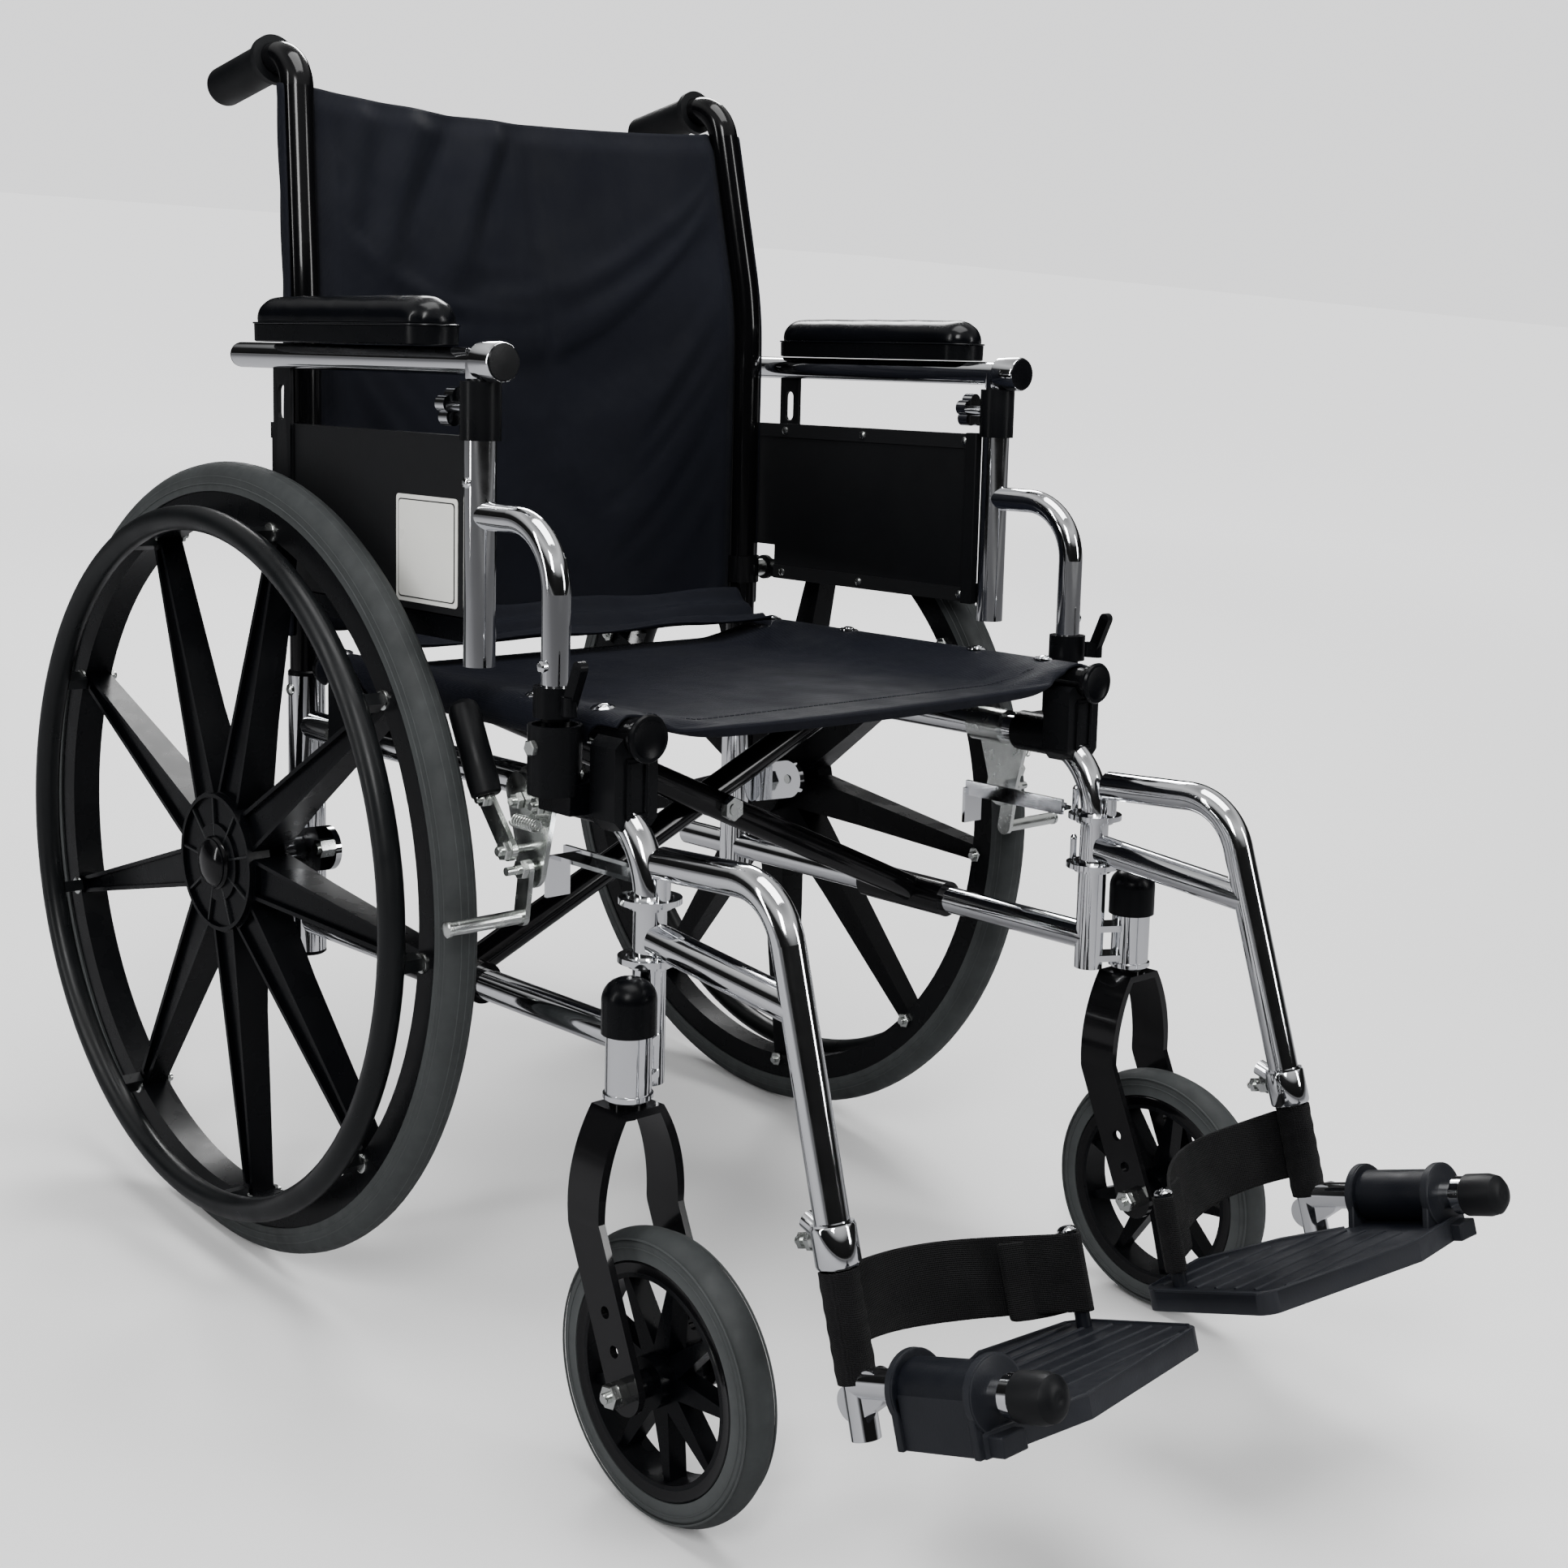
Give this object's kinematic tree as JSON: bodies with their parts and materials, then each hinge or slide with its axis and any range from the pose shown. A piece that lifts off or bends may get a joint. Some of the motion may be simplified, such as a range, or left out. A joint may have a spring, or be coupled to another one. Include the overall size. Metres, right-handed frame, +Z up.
{
  "type": "folding manual wheelchair",
  "caption": "Folding wheelchair with spoked rear wheels, hand rims, front casters, flip-back armrests, swing-away footrests and sling seat and back.",
  "frame": {"origin": "on the floor, at the middle of the overall width and length", "axes": "+X towards the occupant's left, +Y towards the back of the chair, +Z up"},
  "size_m": [0.651, 1.1048, 0.9273],
  "materials": {
    "chrome_tube": "bright chrome plate",
    "black_paint": "gloss black powder coat",
    "grip_rubber": "soft matt grip",
    "black_plastic": "satin moulded nylon",
    "zinc": "bright zinc plate",
    "tyre": "matt grey-black polyurethane",
    "rim_coating": "satin coated hand rim",
    "vinyl": "padded black vinyl",
    "panel": "matt black panel",
    "composite": "ribbed glass-filled nylon",
    "webbing": "woven webbing",
    "nylon": "navy-black nylon sheet"
  },
  "bodies": {
    "right_frame": {"side_frame_right": "chrome_tube", "back_cane_right": "black_paint", "push_grip_right": "grip_rubber", "frame_mouldings_right": "black_plastic", "rear_axle_right": "zinc", "brake_bracket_right": "zinc", "back_right": "nylon"},
    "brace_a": {"cross_brace_a": "black_paint", "brace_bolt": "zinc", "seat_rail_left": "black_paint", "seat_left": "nylon"},
    "brace_b": {"cross_brace_b": "black_paint", "seat_rail_right": "black_paint", "seat_right": "nylon"},
    "left_frame": {"side_frame_left": "chrome_tube", "back_cane_left": "black_paint", "push_grip_left": "grip_rubber", "frame_mouldings_left": "black_plastic", "rear_axle_left": "zinc", "brake_bracket_left": "zinc", "back_left": "nylon"},
    "rear_wheel_body_left": {"rear_wheel_left": "black_plastic", "rear_tyre_left": "tyre", "handrim_left": "rim_coating"},
    "caster_body_left": {"caster_fork_left": "black_paint", "caster_axle_left": "zinc"},
    "caster_wheel_body_left": {"caster_wheel_left": "black_plastic", "caster_tyre_left": "tyre"},
    "armrest_body_left": {"armrest_frame_left": "chrome_tube", "skirt_guard_left": "panel"},
    "armrest_top_body_left": {"armrest_top_left": "chrome_tube", "arm_pad_left": "vinyl"},
    "arm_lock_body_left": {"arm_lock_left": "black_plastic"},
    "hanger_body_left": {"hanger_left": "chrome_tube"},
    "footrest_body_left": {"footrest_post_left": "chrome_tube", "heel_loop_left": "webbing"},
    "footplate_body_left": {"footplate_left": "composite"},
    "brake_lever_body_left": {"brake_lever_left": "zinc"},
    "brake_shoe_body_left": {"brake_shoe_left": "zinc"},
    "release_lever_body_left": {"release_lever_left": "chrome_tube"},
    "rear_wheel_body_right": {"rear_wheel_right": "black_plastic", "rear_tyre_right": "tyre", "handrim_right": "rim_coating"},
    "caster_body_right": {"caster_fork_right": "black_paint", "caster_axle_right": "zinc"},
    "caster_wheel_body_right": {"caster_wheel_right": "black_plastic", "caster_tyre_right": "tyre"},
    "armrest_body_right": {"armrest_frame_right": "chrome_tube", "skirt_guard_right": "panel"},
    "armrest_top_body_right": {"armrest_top_right": "chrome_tube", "arm_pad_right": "vinyl"},
    "arm_lock_body_right": {"arm_lock_right": "black_plastic"},
    "hanger_body_right": {"hanger_right": "chrome_tube"},
    "footrest_body_right": {"footrest_post_right": "chrome_tube", "heel_loop_right": "webbing"},
    "footplate_body_right": {"footplate_right": "composite"},
    "brake_lever_body_right": {"brake_lever_right": "zinc"},
    "brake_shoe_body_right": {"brake_shoe_right": "zinc"},
    "release_lever_body_right": {"release_lever_right": "chrome_tube"}
  },
  "joints": [
    {"name": "frame_fold", "type": "hinge", "parent": "right_frame", "child": "brace_a", "pos_m": [-0.226, 0.04346, 0.26864], "axis": [0, -0.9962, 0.0872], "range_deg": [0, 54], "deforming": ["seat_left", "seat_right", "back_left", "back_right", "heel_loop_left", "heel_loop_right"]},
    {"name": "fold_cross", "type": "hinge", "parent": "brace_a", "child": "brace_b", "pos_m": [0, 0.02735, 0.37143], "axis": [0, -0.9962, 0.0872], "range_deg": [-108, 0]},
    {"name": "fold_left", "type": "hinge", "parent": "brace_b", "child": "left_frame", "pos_m": [0.226, 0.01357, 0.27125], "axis": [0, -0.9962, 0.0872], "range_deg": [0, 54]},
    {"name": "rear_wheel_spin_left", "type": "hinge", "parent": "left_frame", "child": "rear_wheel_body_left", "pos_m": [0.2815, 0.2474, 0.305], "axis": [1, 0, 0], "continuous": true},
    {"name": "caster_swivel_left", "type": "hinge", "parent": "left_frame", "child": "caster_body_left", "pos_m": [0.256, -0.20157, 0.27903], "axis": [0, 0.0872, 0.9962], "continuous": true},
    {"name": "caster_spin_left", "type": "hinge", "parent": "caster_body_left", "child": "caster_wheel_body_left", "pos_m": [0.256, -0.26015, 0.09596], "axis": [1, 0, 0], "continuous": true},
    {"name": "armrest_flip_left", "type": "hinge", "parent": "left_frame", "child": "armrest_body_left", "pos_m": [0.255, 0.26011, 0.50766], "axis": [-1, 0, 0], "range_deg": [0, 70]},
    {"name": "armrest_height_left", "type": "slide", "parent": "armrest_body_left", "child": "armrest_top_body_left", "axis": [0, 0.0872, 0.9962], "range_m": [0, 0.05]},
    {"name": "arm_lock_turn_left", "type": "hinge", "parent": "armrest_body_left", "child": "arm_lock_body_left", "pos_m": [0.2625, -0.12249, 0.506], "axis": [0, 0.0872, 0.9962], "range_deg": [0, 40]},
    {"name": "hanger_swing_left", "type": "hinge", "parent": "left_frame", "child": "hanger_body_left", "pos_m": [0.226, -0.17679, 0.36721], "axis": [0, -0.0872, -0.9962], "range_deg": [-90, 0]},
    {"name": "release_lever_press_left", "type": "hinge", "parent": "hanger_body_left", "child": "release_lever_body_left", "pos_m": [0.21, -0.15495, 0.38738], "axis": [0, 0.0872, 0.9962], "range_deg": [0, 12], "stiffness_Nm_per_rad": 0.3},
    {"name": "footrest_height_left", "type": "slide", "parent": "hanger_body_left", "child": "footrest_body_left", "axis": [0.0224, -0.3734, -0.9274], "range_m": [-0.02, 0.04]},
    {"name": "footplate_flip_left", "type": "hinge", "parent": "footrest_body_left", "child": "footplate_body_left", "pos_m": [0.23463, -0.4065, 0.15332], "axis": [0, 0.9276, -0.3735], "range_deg": [0, 90], "deforming": ["heel_loop_left"]},
    {"name": "brake_lever_throw_left", "type": "hinge", "parent": "left_frame", "child": "brake_lever_body_left", "pos_m": [0.257, -0.06217, 0.39231], "axis": [1, 0, 0], "range_deg": [0, 33]},
    {"name": "brake_shoe_turn_left", "type": "hinge", "parent": "left_frame", "child": "brake_shoe_body_left", "pos_m": [0.247, -0.06928, 0.37988], "axis": [1, 0, 0], "range_deg": [0, 11]},
    {"name": "rear_wheel_spin_right", "type": "hinge", "parent": "right_frame", "child": "rear_wheel_body_right", "pos_m": [-0.2815, 0.2474, 0.305], "axis": [1, 0, 0], "continuous": true},
    {"name": "caster_swivel_right", "type": "hinge", "parent": "right_frame", "child": "caster_body_right", "pos_m": [-0.256, -0.20157, 0.27903], "axis": [0, -0.0872, -0.9962], "continuous": true},
    {"name": "caster_spin_right", "type": "hinge", "parent": "caster_body_right", "child": "caster_wheel_body_right", "pos_m": [-0.256, -0.26015, 0.09596], "axis": [1, 0, 0], "continuous": true},
    {"name": "armrest_flip_right", "type": "hinge", "parent": "right_frame", "child": "armrest_body_right", "pos_m": [-0.255, 0.26011, 0.50766], "axis": [-1, 0, 0], "range_deg": [0, 70]},
    {"name": "armrest_height_right", "type": "slide", "parent": "armrest_body_right", "child": "armrest_top_body_right", "axis": [0, 0.0872, 0.9962], "range_m": [0, 0.05]},
    {"name": "arm_lock_turn_right", "type": "hinge", "parent": "armrest_body_right", "child": "arm_lock_body_right", "pos_m": [-0.2625, -0.12249, 0.506], "axis": [0, -0.0872, -0.9962], "range_deg": [0, 40]},
    {"name": "hanger_swing_right", "type": "hinge", "parent": "right_frame", "child": "hanger_body_right", "pos_m": [-0.226, -0.17679, 0.36721], "axis": [0, 0.0872, 0.9962], "range_deg": [-90, 0]},
    {"name": "release_lever_press_right", "type": "hinge", "parent": "hanger_body_right", "child": "release_lever_body_right", "pos_m": [-0.21, -0.15495, 0.38738], "axis": [0, -0.0872, -0.9962], "range_deg": [0, 12], "stiffness_Nm_per_rad": 0.3},
    {"name": "footrest_height_right", "type": "slide", "parent": "hanger_body_right", "child": "footrest_body_right", "axis": [-0.0224, -0.3734, -0.9274], "range_m": [-0.02, 0.04]},
    {"name": "footplate_flip_right", "type": "hinge", "parent": "footrest_body_right", "child": "footplate_body_right", "pos_m": [-0.23463, -0.4065, 0.15332], "axis": [0, -0.9276, 0.3735], "range_deg": [0, 90], "deforming": ["heel_loop_right"]},
    {"name": "brake_lever_throw_right", "type": "hinge", "parent": "right_frame", "child": "brake_lever_body_right", "pos_m": [-0.257, -0.06217, 0.39231], "axis": [1, 0, 0], "range_deg": [0, 33]},
    {"name": "brake_shoe_turn_right", "type": "hinge", "parent": "right_frame", "child": "brake_shoe_body_right", "pos_m": [-0.247, -0.06928, 0.37988], "axis": [1, 0, 0], "range_deg": [0, 11]}
  ],
  "couplings": [
    {"joint": "fold_cross", "follows": "frame_fold", "ratio": -2},
    {"joint": "fold_left", "follows": "frame_fold", "ratio": 1},
    {"joint": "footplate_flip_left", "follows": "frame_fold", "ratio": 1.6667},
    {"joint": "brake_shoe_turn_left", "follows": "brake_lever_throw_left", "ratio": 0.33333},
    {"joint": "footplate_flip_right", "follows": "frame_fold", "ratio": 1.6667},
    {"joint": "brake_shoe_turn_right", "follows": "brake_lever_throw_right", "ratio": 0.33333}
  ]
}
